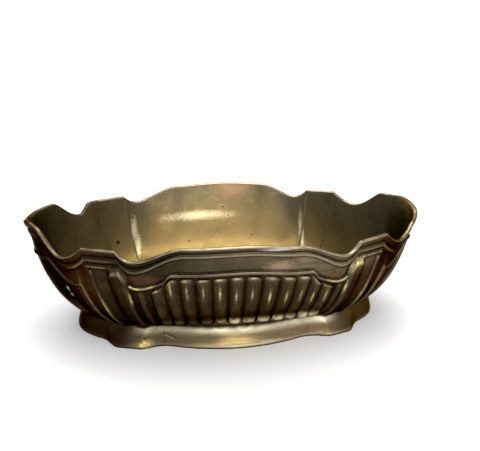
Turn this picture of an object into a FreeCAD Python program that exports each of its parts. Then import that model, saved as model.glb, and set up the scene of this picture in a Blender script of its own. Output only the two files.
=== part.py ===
import FreeCAD, Part
import math
import os

# Scalloped brass planter on a lobed foot. Millimetres, +Z up, X along the long sides,
# the front faces -Y. The origin is the centre of the plane that the foot stands on.
# A wall section is a skin stretched between three outlines: foot edge, waist and rim.

# ---- driving dimensions -------------------------------------------------------------
WALL = 2.4              # plain wall thickness, measured level
FOOT_WALL = 2.4         # thickness of the foot's skirt
PLATE = 2.4             # thickness of the floor plate
PLATE_INSET = 0.8       # the plate's edge lies behind the wall's face, as a fine groove
PLATE_RISE = 0.8        # the floor inside the walls is pressed up by this much
RISE_INSET = 6.0        # from the waist's outline to the edge of the raised floor
WAIST_Z = 15.5          # the walls stand on the floor plate at this height
FOOT_TOP_Z = WAIST_Z - PLATE
FOOT_LIP_Z = 1.6        # upright edge at the bottom of the foot

# Outlines of one quarter: middle of the long side, corner where the long side meets the
# pilaster, corner where the pilaster meets the end, tip of the end, and the end curve's
# lead length, lead angle and pull at the tip.
RIM = dict(mid=96.6, corner=(87.0, 77.9), shoulder=(110.8, 67.2), tip=158.8,
           lead=44.0, angle=43.0, pull=32.0)
WAIST = dict(mid=57.4, corner=(69.5, 51.2), shoulder=(85.8, 49.2), tip=121.6,
             lead=21.5, angle=40.0, pull=27.0)
BELLY = 1.6             # the ends stand out by this much more at mid reach

# Foot edge of one quarter: middle, inner notch, both facet corners, outer notch and tip.
FOOT_MID = 68.6
FOOT_NOTCH = (56.0, 54.8)
FOOT_CORNER = (72.8, 59.8)
FOOT_SHOULDER = (92.6, 53.2)
FOOT_END_NOTCH = (100.9, 38.2)
FOOT_TIP = 125.0
FOOT_TIP_PULL = 19.5
NOTCH_ON_WAIST = 0.80       # where the inner notch meets the waist, along the half side
END_NOTCH_ON_WAIST = 0.22   # where the outer notch meets the waist, along the half end

# Rim height along a half side (0 middle, 1 corner) and a half end (0 shoulder, 1 tip).
RIM_LONG = [(0.0, 90.8), (0.46, 89.7), (0.87, 78.8), (1.0, 85.4)]
RIM_PILASTER_Z = 85.4
RIM_END = [(0.0, 85.4), (0.15, 76.2), (0.455, 91.0), (1.0, 89.3)]

# Upright profile from waist to rim: control points as (share of reach, share of height).
PROFILE = [(0.0, 0.0), (0.44, 0.16), (0.70, 0.38), (1.0, 1.0)]

# Mouldings parallel to the rim: (top, bottom, height), in mm below the rim.
LIP = (-1.2, 5.2, 1.5)
SECOND_BEAD = (5.7, 9.7, 1.1)
THIRD_BEAD = (10.4, 14.2, 1.0)
LEDGE = (19.4, 23.8, 2.0)
LEDGE_DROP = 2.4            # the ledge hangs lower where the rim dips
LEDGE_STEP = (0.64, 0.74)   # share of the half side where it steps down
END_LEDGE = (21.8, 24.4, 1.3)
FRIEZE = 27.0               # the mouldings end here, and the lower field begins

REEDS = 12
REED_FIELD = 0.80           # share of the half side that the reeds fill
REED_HEIGHT = 2.6
RIB = (0.84, 0.90, 1.3)     # narrow rib beside the reeds: from, to, height

# The gadroon straddles the corner: its reach on the long side and on the pilaster, its
# height, and how far below the pilaster's rim it begins.
GADROON = (0.068, 0.41, 4.2)
GADROON_TOP = 14.8
PILASTER_RIDGE = (0.78, 0.95, 2.0)
END_BORDER = (0.07, 0.115, 1.5)

SEAM_HALF_WIDTH = 1.5       # brazed seam inside each crease
SEAM_HEIGHT = 0.7
SEAM_GAP = 0.02             # keeps the seam's skin off the wall's skin
SEAM_TOP = 4.0              # the seam stops this far below the rim

FRIEZE_STATIONS = [0.0, 0.8, 1.9, 3.4, 4.8, 5.4, 6.0, 7.0, 8.4, 9.5, 10.1, 10.8, 12.2, 13.8,
                   14.5, 16.5, 18.6, 19.6, 20.4, 21.6, 22.8, 23.8, 25.0, 26.2, 27.0]
FIELD_STATIONS = 14


# ---- outlines -----------------------------------------------------------------------
def mix(a, b, t):
    return a + (b - a) * t


def smooth(t):
    t = min(max(t, 0.0), 1.0)
    return t * t * (3.0 - 2.0 * t)


def bezier(points, t):
    """Point on the cubic Bezier curve with these four (x, y) control points."""
    a, b, c, d = (1 - t) ** 3, 3 * (1 - t) ** 2 * t, 3 * (1 - t) * t * t, t ** 3
    return tuple(a * p + b * q + c * r + d * s for p, q, r, s in zip(*points))


def arc_frame(mid, corner):
    """Radius and half angle of the arc from (0, mid) to the corner, centred on X = 0."""
    sag = mid - corner[1]
    radius = (corner[0] ** 2 + sag ** 2) / (2 * sag)
    return radius, math.asin(corner[0] / radius)


def mitre(first, second):
    """Vector that moves a corner out by 1 mm from both of the faces that meet there."""
    scale = 1.0 + first[0] * second[0] + first[1] * second[1]
    return (first[0] + second[0]) / scale, (first[1] + second[1]) / scale


def outline(reach, out):
    """Quarter outline at a share of the reach from waist to rim, moved out by some mm."""
    plan = {key: mix(WAIST[key], RIM[key], reach) for key in ("mid", "tip", "lead", "angle", "pull")}
    corner = tuple(mix(w, r, reach) for w, r in zip(WAIST["corner"], RIM["corner"]))
    shoulder = tuple(mix(w, r, reach) for w, r in zip(WAIST["shoulder"], RIM["shoulder"]))
    half_angle = arc_frame(plan["mid"], corner)[1]
    run = math.atan2(corner[1] - shoulder[1], shoulder[0] - corner[0])
    lead = math.radians(plan["angle"])
    side, facet, end = [(math.sin(a), math.cos(a)) for a in (half_angle, run, lead)]
    at_corner, at_shoulder = mitre(side, facet), mitre(facet, end)
    plan["corner"] = (corner[0] + out * at_corner[0], corner[1] + out * at_corner[1])
    plan["shoulder"] = (shoulder[0] + out * at_shoulder[0], shoulder[1] + out * at_shoulder[1])
    plan["mid"] += out
    plan["tip"] += out + BELLY * 4 * reach * (1 - reach)
    return plan


def on_long_side(plan, t):
    """Point on the long side; t runs from -1 to 1 between its two corners."""
    radius, half_angle = arc_frame(plan["mid"], plan["corner"])
    return radius * math.sin(t * half_angle), plan["mid"] - radius + radius * math.cos(t * half_angle)


def on_pilaster(plan, t):
    """Point on the straight facet; t runs from 0 at the long side to 1 at the end."""
    return tuple(mix(a, b, t) for a, b in zip(plan["corner"], plan["shoulder"]))


def on_end(plan, t):
    """Point on the end; t runs from 1 at the back shoulder to -1 at the front one."""
    lead = math.radians(plan["angle"])
    start = plan["shoulder"]
    control = (start[0] + plan["lead"] * math.cos(lead), start[1] - plan["lead"] * math.sin(lead))
    x, y = bezier([start, control, (plan["tip"], plan["pull"]), (plan["tip"], 0.0)], 1.0 - abs(t))
    return x, math.copysign(y, t)


# ---- heights and profile ------------------------------------------------------------
def stepped(knots, t):
    """Smooth curve through (place, height) knots, level at each of them."""
    for (t0, z0), (t1, z1) in zip(knots, knots[1:]):
        if t <= t1:
            return mix(z0, z1, smooth((t - t0) / (t1 - t0)))
    return knots[-1][1]


def rim_long(t):
    t = abs(t)
    dip, corner = RIM_LONG[-2], RIM_LONG[-1]
    if t <= dip[0]:
        return stepped(RIM_LONG[:-1], t)
    return mix(dip[1], corner[1], ((t - dip[0]) / (corner[0] - dip[0])) ** 2)


def rim_pilaster(t):
    return RIM_PILASTER_Z


def rim_end(t):
    s = 1.0 - abs(t)
    shoulder, dip = RIM_END[0], RIM_END[1]
    if s >= dip[0]:
        return stepped(RIM_END[1:], s)
    return mix(dip[1], shoulder[1], (1.0 - s / dip[0]) ** 2)


def reach_at(height):
    """Share of the reach from waist to rim, at a share of the height."""
    low, high = 0.0, 1.0
    for _ in range(40):
        middle = (low + high) / 2
        if bezier(PROFILE, middle)[1] < height:
            low = middle
        else:
            high = middle
    return bezier(PROFILE, low)[0]


# ---- relief -------------------------------------------------------------------------
def bead(x, moulding):
    """Half-round moulding between two places, zero outside them."""
    start, end, height = moulding
    a = (2 * x - start - end) / (end - start)
    return height * math.sqrt(1 - a * a) if abs(a) < 1 else 0.0


def rim_mouldings(q):
    return bead(q, LIP) + bead(q, SECOND_BEAD)


def gadroon(across, z):
    """Swelling over the corner; across is 0 at the corner and 1 at the swelling's edge."""
    if across >= 1.0:
        return 0.0
    start = RIM_PILASTER_Z - WAIST_Z - GADROON_TOP
    cap = math.sqrt(smooth((start - z - 2.2 * across ** 2) / 4.2)) * smooth(z / 3.0)
    return GADROON[2] * cap * math.sqrt(1.0 - across ** 2)


def relief_long(t, q, z):
    """Height of the relief on a long side, q mm below the rim and z mm above the waist."""
    edge = smooth((0.99 - abs(t)) / 0.03)
    drop = LEDGE_DROP * smooth((abs(t) - LEDGE_STEP[0]) / (LEDGE_STEP[1] - LEDGE_STEP[0]))
    field = smooth((q - LEDGE[1] - drop) / 4.0) * smooth(z / 5.0)
    reeds = 0.0
    if abs(t) < REED_FIELD:
        reeds = REED_HEIGHT * abs(math.sin(math.pi * REEDS * (t / REED_FIELD + 1) / 2)) ** 0.6
    flat = edge * (bead(q - drop, LEDGE) + field * (reeds + bead(abs(t), RIB)))
    return rim_mouldings(q) + max(flat, gadroon((1.0 - abs(t)) / GADROON[0], z))


def relief_pilaster(t, q, z):
    edge = smooth((1.0 - t) / 0.06)
    field = smooth((q - THIRD_BEAD[1]) / 3.0) * smooth(z / 3.0)
    third = bead(q, THIRD_BEAD) * smooth(t / 0.06)
    flat = edge * (third + field * bead(t, PILASTER_RIDGE))
    return rim_mouldings(q) + max(flat, gadroon(t / GADROON[1], z))


def relief_end(t, q, z):
    s = 1.0 - abs(t)
    inside = smooth((s - END_BORDER[0]) / 0.04)
    fade = 1.0 - 0.8 * smooth((s - 0.02) / 0.15)
    border = bead(s, END_BORDER) * smooth((q - END_LEDGE[0]) / 3.0) * smooth(z / 3.0)
    return bead(q, LIP) + bead(q, SECOND_BEAD) * fade + bead(q, END_LEDGE) * inside + border


def plain(t, q, z):
    return 0.0


# ---- skins and solids ---------------------------------------------------------------
def spread(start, end, count):
    return [mix(start, end, i / (count - 1)) for i in range(count)]


def skin(place, rim, relief, offset, columns, top=0.0):
    """Grid of points over a wall section, from the waist up to the rim."""
    grid = []
    for t in columns:
        height = rim(t) - WAIST_Z
        below = [q for q in reversed(FRIEZE_STATIONS) if q > top]
        levels = spread(height, FRIEZE, FIELD_STATIONS)[:-1] + below + [top]
        column = []
        for q in levels:
            z = height - q
            out = offset + relief(t, q, z)
            x, y = place(outline(reach_at(z / height), out), t)
            column.append(FreeCAD.Vector(x, y, WAIST_Z + z))
        grid.append(column)
    return grid


def surface(grid, degrees):
    """B-spline surface with the grid's points as its poles, clamped at its edges."""
    knots, mults = [], []
    for count, degree in zip((len(grid), len(grid[0])), degrees):
        inner = count - degree + 1
        knots.append([float(i) for i in range(inner)])
        mults.append([degree + 1] + [1] * (inner - 2) + [degree + 1])
    result = Part.BSplineSurface()
    result.buildFromPolesMultsKnots(grid, mults[0], mults[1], knots[0], knots[1],
                                    False, False, degrees[0], degrees[1])
    return result.toShape()


def edge_curve(points, degree):
    """B-spline edge with the same poles and knots as a skin's border."""
    inner = len(points) - degree + 1
    mults = [degree + 1] + [1] * (inner - 2) + [degree + 1]
    curve = Part.BSplineCurve()
    curve.buildFromPolesMultsKnots(points, mults, [float(i) for i in range(inner)], False, degree)
    return curve.toShape()


def border_face(first, second, degree):
    """Face between two borders: a plane where both lie level, so that it is a true flat."""
    if max(abs(p.z - first[0].z) for p in first + second) > 1e-9:
        return surface([first, second], (1, degree))
    ends = [Part.makeLine(first[i], second[i]) for i in (0, -1)]
    return Part.Face(Part.Wire([edge_curve(first, degree), ends[1], edge_curve(second, degree), ends[0]]))


def solid_between(outer_grids, inner_grids, along, upright):
    """Solid between two rows of skins that share their columns where they meet."""
    faces = []
    for outer, inner in zip(outer_grids, inner_grids):
        faces.append(surface(outer, (along, upright)))
        faces.append(surface(inner, (along, upright)))
        for row in (0, -1):
            faces.append(border_face([o[row] for o in outer], [i[row] for i in inner], along))
    for outer, inner, column in ((outer_grids[0], inner_grids[0], 0), (outer_grids[-1], inner_grids[-1], -1)):
        faces.append(surface([outer[column], inner[column]], (1, upright)))
    shell = Part.Shell(faces)
    shell.sewShape()
    solid = Part.Solid(shell)
    if solid.Volume < 0:
        solid.reverse()
    return solid


def wall(place, rim, relief, columns):
    """Wall section: relief on the outside, smooth on the inside."""
    outer = skin(place, rim, relief, 0.0, columns)
    inner = skin(place, rim, plain, -WALL, columns)
    return solid_between([outer], [inner], 3, 3)


def long_panel():
    reed = spread(-REED_FIELD, REED_FIELD, REEDS * 6 + 1)
    margin = spread(REED_FIELD, 0.93, 10)[1:] + spread(0.93, 1.0, 12)[1:]
    return wall(on_long_side, rim_long, relief_long, [-t for t in reversed(margin)] + reed + margin)


def corner_pilaster():
    return wall(on_pilaster, rim_pilaster, relief_pilaster, spread(0.0, 1.0, 41))


def end_panel():
    half = spread(1.0, 0.84, 17) + spread(0.82, 0.5, 13) + spread(0.47, 0.0, 12)
    return wall(on_end, rim_end, relief_end, half + [-t for t in reversed(half[:-1])])


def slab(inset, bottom, height):
    """Flat slab with the waist's outline, moved in by the inset."""
    plan = outline(0.0, -inset)
    ring = [on_long_side(plan, t) for t in spread(-1.0, 1.0, 33)]
    ring += [on_end(plan, t) for t in spread(1.0, -1.0, 41)]
    ring += [(-x, -y) for x, y in ring]
    points = [FreeCAD.Vector(x, y, bottom) for x, y in ring]
    face = Part.Face(Part.makePolygon(points + points[:1]))
    return face.extrude(FreeCAD.Vector(0, 0, height))


def floor_plate():
    """Plate that the walls stand on, with its middle pressed up between them."""
    plate = slab(PLATE_INSET, FOOT_TOP_Z, PLATE)
    return plate.fuse(slab(RISE_INSET, WAIST_Z, PLATE_RISE)).removeSplitter().Solids[0]


# ---- brazed seams -------------------------------------------------------------------
def seam(first, second):
    """Low bead of brazing metal in the crease between two wall sections.

    Each section is (place, rim, t at the crease, t at the bead's edge)."""
    def column(section, t, lift):
        place, rim = section[0], section[1]
        return skin(place, rim, plain, -WALL - SEAM_GAP - lift, [t], SEAM_TOP)[0]

    wall_side = [[column(first, first[3], 0), column(first, first[2], 0)],
                 [column(second, second[2], 0), column(second, second[3], 0)]]
    edge = SEAM_HEIGHT / 4
    room_side = [[column(first, first[3], edge), column(first, first[2], SEAM_HEIGHT)],
                 [column(second, second[2], SEAM_HEIGHT), column(second, second[3], edge)]]
    return solid_between(wall_side, room_side, 1, 3)


def side_seam():
    side = (on_long_side, rim_long, 1.0, 1.0 - SEAM_HALF_WIDTH / 90)
    pilaster = (on_pilaster, rim_pilaster, 0.0, SEAM_HALF_WIDTH / 24)
    return seam(side, pilaster)


def end_seam():
    pilaster = (on_pilaster, rim_pilaster, 1.0, 1.0 - SEAM_HALF_WIDTH / 24)
    end = (on_end, rim_end, 1.0, 1.0 - SEAM_HALF_WIDTH / 110)
    return seam(pilaster, end)


# ---- foot ---------------------------------------------------------------------------
# Skirt profile from the plate down: (share of the flare, height). It rolls over a convex
# shoulder, slopes down and kicks out into an upright edge.
FOOT_PROFILE = [(0.05, FOOT_TOP_Z), (0.20, 12.9), (0.36, 12.2), (0.50, 10.8), (0.60, 9.0), (0.70, 7.0),
                (0.80, 5.0), (0.91, 3.2), (0.985, 2.3), (1.0, FOOT_LIP_Z), (1.0, 0.8), (1.0, 0.0)]


def foot_skin(waist_points, edge_points, offset):
    """Grid over a stretch of the skirt, from its upright edge to the floor plate."""
    grid = []
    for (wx, wy), (ex, ey) in zip(waist_points, edge_points):
        reach = math.hypot(ex - wx, ey - wy)
        nx, ny = (ex - wx) / reach, (ey - wy) / reach
        column = []
        for share, z in reversed(FOOT_PROFILE):
            x, y = mix(wx, ex, share) + nx * offset, mix(wy, ey, share) + ny * offset
            column.append(FreeCAD.Vector(x, y, z))
        grid.append(column)
    return grid


def foot_piece(stretches):
    """Piece of the skirt over one or more stretches, each a pair of point lists."""
    outer = [foot_skin(w, e, 0.0) for w, e in stretches]
    inner = [foot_skin(w, e, -FOOT_WALL) for w, e in stretches]
    return solid_between(outer, inner, 3, 3)


def foot_rail():
    plan = outline(0.0, 0.0)
    waist = [on_long_side(plan, t) for t in spread(-NOTCH_ON_WAIST, NOTCH_ON_WAIST, 25)]
    edge_plan = {"mid": FOOT_MID, "corner": FOOT_NOTCH}
    edge = [on_long_side(edge_plan, t) for t in spread(-1.0, 1.0, 25)]
    return foot_piece([(waist, edge)])


def foot_corner():
    plan = outline(0.0, 0.0)
    count = 6
    side = [on_long_side(plan, t) for t in spread(NOTCH_ON_WAIST, 1.0, count)]
    facet = [on_pilaster(plan, t) for t in spread(0.0, 1.0, count)]
    end = [on_end(plan, t) for t in spread(1.0, 1.0 - END_NOTCH_ON_WAIST, count)]
    corners = [FOOT_NOTCH, FOOT_CORNER, FOOT_SHOULDER, FOOT_END_NOTCH]
    edges = []
    for (x0, y0), (x1, y1) in zip(corners, corners[1:]):
        edges.append([(mix(x0, x1, t), mix(y0, y1, t)) for t in spread(0.0, 1.0, count)])
    return foot_piece(list(zip([side, facet, end], edges)))


def foot_end():
    plan = outline(0.0, 0.0)
    limit = 1.0 - END_NOTCH_ON_WAIST
    waist = [on_end(plan, t) for t in spread(limit, -limit, 25)]
    x, y = FOOT_END_NOTCH
    controls = [(x, y), (x + 12.0, y - 8.0), (FOOT_TIP, FOOT_TIP_PULL), (FOOT_TIP, 0.0)]
    half = [bezier(controls, s) for s in spread(0.0, 1.0, 13)]
    edge = half + [(px, -py) for px, py in reversed(half[:-1])]
    return foot_piece([(waist, edge)])


# ---- assembly -----------------------------------------------------------------------
ORIGIN = FreeCAD.Vector(0, 0, 0)


def flip_x(shape):
    return shape.mirror(ORIGIN, FreeCAD.Vector(1, 0, 0))


def flip_y(shape):
    return shape.mirror(ORIGIN, FreeCAD.Vector(0, 1, 0))


def four_corners(name, shape):
    """The same piece at the four corners, by mirroring."""
    return {
        "back_right_" + name: shape,
        "back_left_" + name: flip_x(shape),
        "front_right_" + name: flip_y(shape),
        "front_left_" + name: flip_x(flip_y(shape)),
    }


def assembly():
    side, end, rail, foot = long_panel(), end_panel(), foot_rail(), foot_end()
    parts = {
        "back_panel": side, "front_panel": flip_y(side),
        "right_end_panel": end, "left_end_panel": flip_x(end),
        "floor_plate": floor_plate(),
        "foot_back_rail": rail, "foot_front_rail": flip_y(rail),
        "foot_right_end": foot, "foot_left_end": flip_x(foot),
    }
    parts.update(four_corners("pilaster", corner_pilaster()))
    parts.update(four_corners("foot_corner", foot_corner()))
    parts.update(four_corners("side_seam", side_seam()))
    parts.update(four_corners("end_seam", end_seam()))
    return parts


os.makedirs("parts", exist_ok=True)
for node, shape in assembly().items():
    shape.exportStep(os.path.join("parts", node + ".step"))
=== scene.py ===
import math
import bpy
import numpy as np
from mathutils import Matrix, Vector


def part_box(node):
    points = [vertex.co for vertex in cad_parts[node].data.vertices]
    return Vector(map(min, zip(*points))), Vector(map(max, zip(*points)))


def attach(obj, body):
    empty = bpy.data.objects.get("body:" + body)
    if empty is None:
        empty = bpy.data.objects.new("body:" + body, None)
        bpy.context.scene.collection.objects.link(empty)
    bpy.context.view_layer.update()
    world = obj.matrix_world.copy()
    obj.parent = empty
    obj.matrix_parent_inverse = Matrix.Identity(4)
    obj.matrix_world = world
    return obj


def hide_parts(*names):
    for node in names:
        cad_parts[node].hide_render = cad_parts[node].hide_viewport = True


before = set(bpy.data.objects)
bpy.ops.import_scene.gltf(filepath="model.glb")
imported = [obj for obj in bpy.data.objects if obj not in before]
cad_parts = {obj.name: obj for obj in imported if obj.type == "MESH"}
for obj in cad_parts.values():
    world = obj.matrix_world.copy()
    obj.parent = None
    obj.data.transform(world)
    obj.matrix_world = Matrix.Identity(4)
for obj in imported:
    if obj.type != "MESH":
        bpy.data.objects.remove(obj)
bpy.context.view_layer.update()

# Scalloped brass planter on a lobed foot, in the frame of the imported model: metres, +Z up,
# X along the long sides, the front faces -Y. Sizes below are in millimetres, and mesh_from
# turns them into metres. Each wall section is a closed skin stretched between three
# outlines (foot edge, waist and rim), with its relief standing out from it.

MM = 0.001

# ---- driving dimensions, the same as the frame's ------------------------------------
WALL = 2.4              # plain wall thickness, measured level
FOOT_WALL = 2.4         # thickness of the foot's skirt
PLATE_INSET = 0.8       # the floor plate's edge lies behind the wall's face
PLATE_RISE = 0.8        # the floor inside the walls is pressed up by this much
RISE_INSET = 6.0        # from the waist's outline to the edge of the raised floor
WAIST_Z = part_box("floor_plate")[1].z / MM - PLATE_RISE
FOOT_TOP_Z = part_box("floor_plate")[0].z / MM

# Outlines of one quarter: middle of the long side, corner where the long side meets the
# pilaster, corner where the pilaster meets the end, tip of the end, and the end curve's
# lead length, lead angle and pull at the tip.
RIM = dict(mid=96.6, corner=(87.0, 77.9), shoulder=(110.8, 67.2), tip=158.8,
           lead=44.0, angle=43.0, pull=32.0)
WAIST = dict(mid=57.4, corner=(69.5, 51.2), shoulder=(85.8, 49.2), tip=121.6,
             lead=21.5, angle=40.0, pull=27.0)
BELLY = 1.6             # the ends stand out by this much more at mid reach

# The ends are bent by hand, the right one blunter: mm by which each one's rim strays from the
# common outline, and how far its height strays, as (place, mm) from its front to its back corner.
RIGHT_END_BEND = dict(tip=-1.7, pull=-3.6, lead=9.7)
LEFT_END_BEND = dict(tip=-0.7, pull=-1.1, lead=2.3)
RIGHT_END_STRAY = [(-1.0, 0.0), (-0.88, -0.8), (-0.76, -4.1), (-0.64, -8.2), (-0.5, -7.3), (-0.36, -4.5),
                   (-0.2, -0.7), (0.0, 1.9), (0.2, 2.1), (0.36, 0.4), (0.5, -0.3), (0.64, 0.1), (1.0, 0.0)]
LEFT_END_STRAY = [(-1.0, 0.0), (-0.88, -0.3), (-0.76, -2.7), (-0.64, -1.4), (-0.5, 2.3), (-0.36, 4.7),
                  (-0.2, 2.8), (0.0, 0.5), (0.2, 0.1), (0.36, -0.2), (0.64, 0.5), (1.0, 0.0)]

# Foot edge of one quarter: middle, inner notch, both facet corners, outer notch and tip, and
# where the notches meet the waist, along the half side and the half end.
FOOT_MID = 68.6
FOOT_NOTCH = (56.0, 54.8)
FOOT_CORNER = (72.8, 59.8)
FOOT_SHOULDER = (92.6, 53.2)
FOOT_END_NOTCH = (100.9, 38.2)
FOOT_TIP = 125.0
FOOT_TIP_PULL = 19.5
NOTCH_ON_WAIST = 0.80
END_NOTCH_ON_WAIST = 0.22

# Rim height along a half side (0 middle, 1 corner) and a half end (0 shoulder, 1 tip).
RIM_LONG = [(0.0, 90.8), (0.46, 89.7), (0.87, 78.8), (1.0, 85.4)]
RIM_PILASTER_Z = 85.4
RIM_END = [(0.0, 85.4), (0.15, 76.2), (0.455, 91.0), (1.0, 89.3)]

# The front's rim sags by some mm to the right of its middle, less at the corner. The back's
# crest is shifted by a share of the half side, and raised: (mm, place, width).
FRONT_SAG = 2.6
SAG_AT_CORNER = 0.6
BACK_SHIFT = 0.035
BACK_RISE = (0.7, 0.25, 0.3)

# Upright profile from waist to rim: control points as (share of reach, share of height).
PROFILE = [(0.0, 0.0), (0.44, 0.16), (0.70, 0.38), (1.0, 1.0)]

# Mouldings along the rim: (top, bottom, height), in mm below the rim. The lip and the beads
# spread apart towards the corners, by MOULDING_SPREAD on the pilasters and the ends.
LIP_RISE = 1.1          # the lip's rounded top stands this far above its edges
LIP = (-1.6, 4.2, 1.4)
SECOND_BEAD = (4.8, 8.3, 1.0)
THIRD_BEAD = (9.2, 11.6, 0.9)
MOULDING_SPREAD = 1.36
LEDGE = (19.8, 23.6, 2.1)
LEDGE_STEP = (0.575, 0.65, 1.2)     # where the ledge steps down, and by how many mm
END_LEDGE = (21.8, 24.6, 1.4)
FRIEZE = 27.5           # the mouldings end here, and the lower field begins

# Shallow hollows under the beads: (top, width, depth).
COVE = (10.2, 9.0, 0.5)
END_COVE = (9.0, 12.5, 0.6)

# Centres of the twelve reeds along a half side, unevenly spaced as they were chased by hand.
REED_CENTRES = [-0.706, -0.590, -0.459, -0.324, -0.187, -0.051, 0.086, 0.240, 0.390, 0.522, 0.640, 0.762]
REED_EDGES = (-0.768, 0.824)
REED_HEIGHT = 2.6
REED_EASE = 2.4         # a reed rounds off over this length at its top and its foot
REED_FOOT = 1.3         # and ends this far above the waist
REED_BULB = (6.6, 3.0, 2.0)     # swelling at its foot: mm above the waist, spread, height

# Narrow ribs beside the reeds, and the lines on the pilaster and the end: (from, to, height).
RIBS = ((-0.885, -0.825, 1.5), (0.862, 0.92, 1.5))
GADROON_LINE = (0.425, 0.465, 0.6)
PILASTER_RIDGE = (0.835, 0.925, 1.7)
END_BORDER = (0.074, 0.100, 1.3)
END_BORDER_LINE = (0.125, 0.14, 0.5)

# The gadroon straddles the corner: its reach on the long side and on the pilaster, its
# height, how far below the pilaster's rim it begins, and how strong the painted highlight on its cap is, left and
# right.
GADROON = (0.068, 0.41, 4.4)
GADROON_TOP = 10.4
CAP_GLINT = (0.06, 0.6)


# ---- outlines, on arrays ------------------------------------------------------------
def mix(a, b, t):
    return a + (b - a) * t


def smooth(t):
    t = np.clip(t, 0.0, 1.0)
    return t * t * (3.0 - 2.0 * t)


def hump(x, middle, width):
    return np.exp(-((x - middle) / width) ** 2)


def bezier(points, t):
    a, b, c, d = (1 - t) ** 3, 3 * (1 - t) ** 2 * t, 3 * (1 - t) * t * t, t ** 3
    return tuple(a * p + b * q + c * r + d * s for p, q, r, s in zip(*points))


def arc_frame(mid, corner):
    sag = mid - corner[1]
    radius = (corner[0] ** 2 + sag ** 2) / (2 * sag)
    return radius, np.arcsin(corner[0] / radius)


def mitre(first, second):
    scale = 1.0 + first[0] * second[0] + first[1] * second[1]
    return (first[0] + second[0]) / scale, (first[1] + second[1]) / scale


def outline(reach, out):
    """Quarter outline at shares of the reach from waist to rim, moved out by some mm."""
    plan = {key: mix(WAIST[key], RIM[key], reach) for key in ("mid", "tip", "lead", "angle", "pull")}
    corner, shoulder = [tuple(mix(w, r, reach) for w, r in zip(WAIST[key], RIM[key]))
                        for key in ("corner", "shoulder")]
    half_angle = arc_frame(plan["mid"], corner)[1]
    run = np.arctan2(corner[1] - shoulder[1], shoulder[0] - corner[0])
    lead = np.radians(plan["angle"])
    side, facet, end = [(np.sin(a), np.cos(a)) for a in (half_angle, run, lead)]
    at_corner, at_shoulder = mitre(side, facet), mitre(facet, end)
    plan["corner"] = (corner[0] + out * at_corner[0], corner[1] + out * at_corner[1])
    plan["shoulder"] = (shoulder[0] + out * at_shoulder[0], shoulder[1] + out * at_shoulder[1])
    plan["mid"] = plan["mid"] + out
    plan["tip"] = plan["tip"] + out + BELLY * 4 * reach * (1 - reach)
    plan["reach"] = reach
    return plan


def on_long_side(plan, t):
    radius, half_angle = arc_frame(plan["mid"], plan["corner"])
    return radius * np.sin(t * half_angle), plan["mid"] - radius + radius * np.cos(t * half_angle)


def on_pilaster(plan, t):
    return tuple(mix(a, b, t) for a, b in zip(plan["corner"], plan["shoulder"]))


def on_end(plan, t):
    lead = np.radians(plan["angle"])
    start = plan["shoulder"]
    control = (start[0] + plan["lead"] * np.cos(lead), start[1] - plan["lead"] * np.sin(lead))
    x, y = bezier([start, control, (plan["tip"], plan["pull"]), (plan["tip"], 0.0)], 1.0 - np.abs(t))
    return x, np.sign(t) * y


def on_bent_end(bend):
    """The end's curve with its rim bent out of the common outline."""
    def place(plan, t):
        return on_end({**plan, **{key: plan[key] + stray * plan["reach"] for key, stray in bend.items()}}, t)
    return place


# ---- heights and profile ------------------------------------------------------------
def stepped(knots, t):
    """Smooth curve through (place, height) knots, level at each of them."""
    result = np.full_like(t, knots[-1][1])
    for (t0, z0), (t1, z1) in zip(knots, knots[1:]):
        here = (t >= t0) & (t <= t1)
        result = np.where(here, mix(z0, z1, smooth((t - t0) / (t1 - t0))), result)
    return result


def eased_through(knots, t):
    """Smooth curve through (place, height) knots, its slope at each one taken from its neighbours."""
    places, heights = np.array(knots).T
    slopes = np.gradient(heights, places)
    i = np.clip(np.searchsorted(places, t) - 1, 0, len(places) - 2)
    width = places[i + 1] - places[i]
    s = (t - places[i]) / width
    bend = s * (1 - s) * width * (slopes[i] * (1 - s) - slopes[i + 1] * s)
    return mix(heights[i], heights[i + 1], smooth(s)) + bend


def rim_long(t):
    t = np.abs(t)
    dip, corner = RIM_LONG[-2], RIM_LONG[-1]
    rise = np.clip((t - dip[0]) / (corner[0] - dip[0]), 0, 1)
    return np.where(t <= dip[0], stepped(RIM_LONG[:-1], t), mix(dip[1], corner[1], rise ** 2))


def rim_front(t):
    """The front's rim sags a little to the right of the middle."""
    at_corner = smooth((t - 0.82) / 0.18)
    return rim_long(t) - FRONT_SAG * smooth(t / 0.55) * mix(1.0, SAG_AT_CORNER, at_corner)


def rim_back(t):
    """The back's rim is a little lopsided: its crest lies to the right of the middle."""
    return rim_long(t - BACK_SHIFT * (1 - t * t)) + BACK_RISE[0] * hump(t, *BACK_RISE[1:])


def rim_pilaster(t):
    return np.full_like(t, RIM_PILASTER_Z)


def rim_front_right_pilaster(t):
    return RIM_PILASTER_Z - FRONT_SAG * SAG_AT_CORNER * (1 - t)


def rim_end(t):
    s = 1.0 - np.abs(t)
    shoulder, dip = RIM_END[0], RIM_END[1]
    rise = np.clip(1.0 - s / dip[0], 0, 1)
    return np.where(s >= dip[0], stepped(RIM_END[1:], s), mix(dip[1], shoulder[1], rise ** 2))


def rim_left_end(t):
    """The left end's rim runs on level past its back corner before it drops."""
    level = smooth((0.15 - (1.0 - t)) / 0.095)
    rim = np.maximum(rim_end(t), mix(RIM_END[1][1], RIM_END[0][1], level))
    return rim + eased_through(LEFT_END_STRAY, t)


def rim_right_end(t):
    return rim_end(t) + eased_through(RIGHT_END_STRAY, t)


profile_reach, profile_height = bezier(PROFILE, np.linspace(0, 1, 600))


def reach_at(height):
    """Share of the reach from waist to rim, at shares of the height."""
    return np.interp(height, profile_height, profile_reach)


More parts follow.
